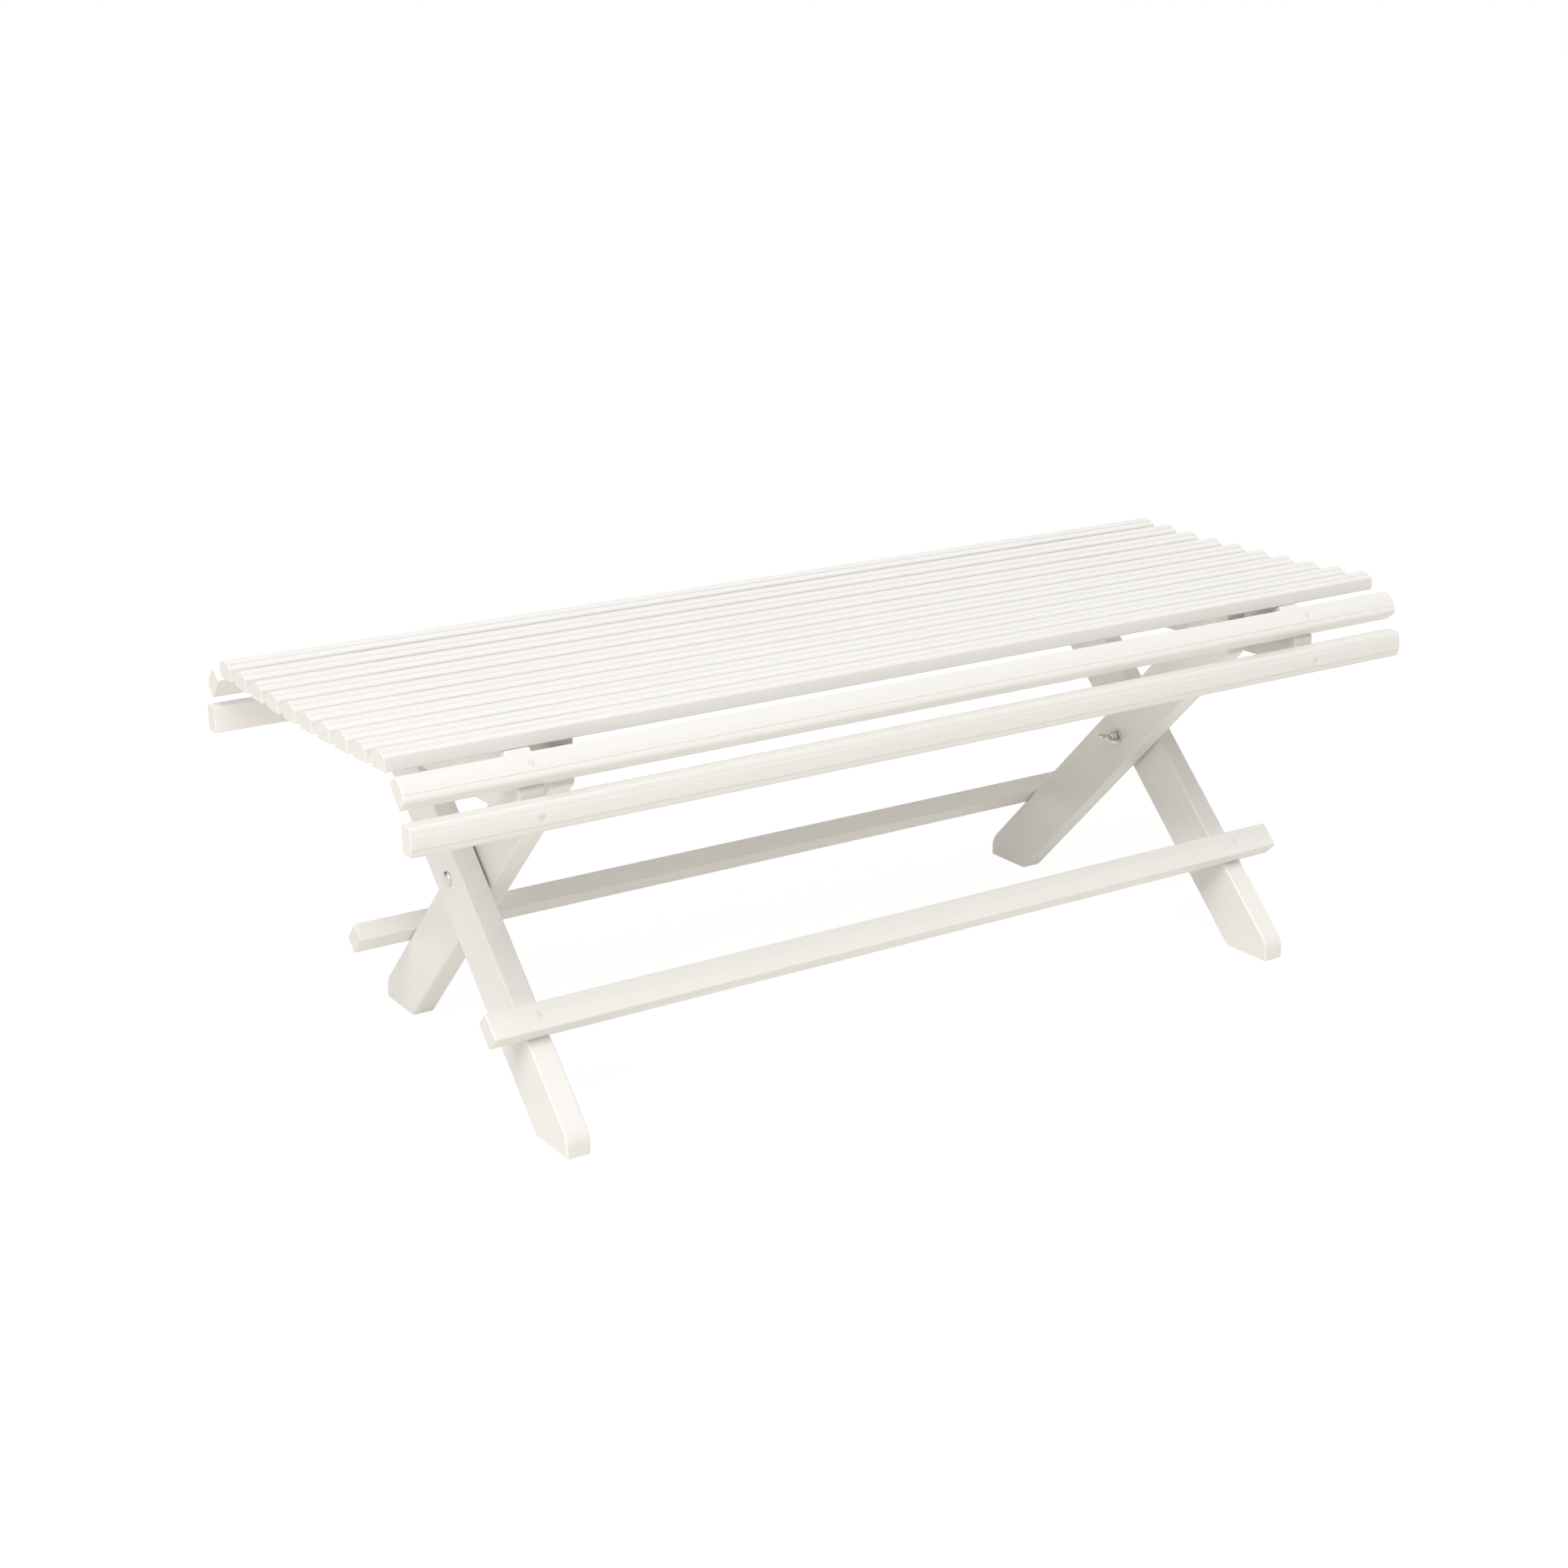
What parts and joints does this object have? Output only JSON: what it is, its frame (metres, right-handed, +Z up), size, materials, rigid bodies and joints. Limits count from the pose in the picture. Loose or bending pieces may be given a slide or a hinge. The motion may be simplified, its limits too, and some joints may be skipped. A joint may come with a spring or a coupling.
{
  "type": "folding slatted bench",
  "caption": "White painted wooden folding bench: a dished slatted seat with rounded slats on crossed bolted legs with stretchers.",
  "frame": {"origin": "on the floor, under the middle of the overall box", "axes": "+X to the right along the slats, +Y to the back (the side the seat hinges on), +Z up"},
  "size_m": [1.2, 0.49, 0.4169],
  "materials": {
    "painted_slats": "white satin paint",
    "painted_boards": "white satin paint",
    "painted_screws": "steel screw heads painted over with the wood",
    "zinc_steel": "bright zinc plate"
  },
  "bodies": {
    "legs_a": {"left_leg_a": "painted_boards", "right_leg_a": "painted_boards", "front_stretcher": "painted_boards", "left_crossing_bolt": "zinc_steel", "right_crossing_bolt": "zinc_steel", "left_crossing_spacer_washer": "zinc_steel", "right_crossing_spacer_washer": "zinc_steel", "front_left_stretcher_screw": "painted_screws", "front_right_stretcher_screw": "painted_screws"},
    "seat": {"seat_slat_1": "painted_slats", "seat_slat_2": "painted_slats", "seat_slat_3": "painted_slats", "seat_slat_4": "painted_slats", "seat_slat_5": "painted_slats", "seat_slat_6": "painted_slats", "seat_slat_7": "painted_slats", "seat_slat_8": "painted_slats", "seat_slat_9": "painted_slats", "seat_slat_10": "painted_slats", "front_tilted_slat": "painted_slats", "front_upright_slat": "painted_slats", "back_tilted_slat": "painted_slats", "back_upright_slat": "painted_slats", "left_bearer": "painted_boards", "right_bearer": "painted_boards", "left_leg_stop": "painted_boards", "right_leg_stop": "painted_boards", "front_left_tilted_slat_screw": "painted_screws", "front_left_upright_slat_screw": "painted_screws", "front_right_tilted_slat_screw": "painted_screws", "front_right_upright_slat_screw": "painted_screws", "back_left_tilted_slat_screw": "painted_screws", "back_left_upright_slat_screw": "painted_screws", "back_right_tilted_slat_screw": "painted_screws", "back_right_upright_slat_screw": "painted_screws", "left_hinge_bolt": "zinc_steel", "left_hinge_washer": "zinc_steel", "left_hinge_nut": "zinc_steel", "right_hinge_bolt": "zinc_steel", "right_hinge_washer": "zinc_steel", "right_hinge_nut": "zinc_steel"},
    "legs_b": {"left_leg_b": "painted_boards", "right_leg_b": "painted_boards", "back_stretcher": "painted_boards", "left_wing_nut_washer": "zinc_steel", "right_wing_nut_washer": "zinc_steel", "back_left_stretcher_screw": "painted_screws", "back_right_stretcher_screw": "painted_screws"},
    "wing_nut_left": {"left_wing_nut": "zinc_steel"},
    "wing_nut_right": {"right_wing_nut": "zinc_steel"}
  },
  "joints": [
    {"name": "seat_fold", "type": "hinge", "parent": "legs_a", "child": "seat", "pos_m": [0, 0.151, 0.363], "axis": [-1, 0, 0], "range_deg": [0, 87]},
    {"name": "leg_fold", "type": "hinge", "parent": "legs_a", "child": "legs_b", "pos_m": [0, 0, 0.212], "axis": [-1, 0, 0], "range_deg": [0, 87]},
    {"name": "left_wing_nut_turn", "type": "hinge", "parent": "legs_a", "child": "wing_nut_left", "pos_m": [-0.3963, 0, 0.212], "axis": [-1, 0, 0], "continuous": true},
    {"name": "right_wing_nut_turn", "type": "hinge", "parent": "legs_a", "child": "wing_nut_right", "pos_m": [0.3963, 0, 0.212], "axis": [1, 0, 0], "continuous": true}
  ],
  "couplings": [
    {"joint": "leg_fold", "follows": "seat_fold", "ratio": 1}
  ]
}
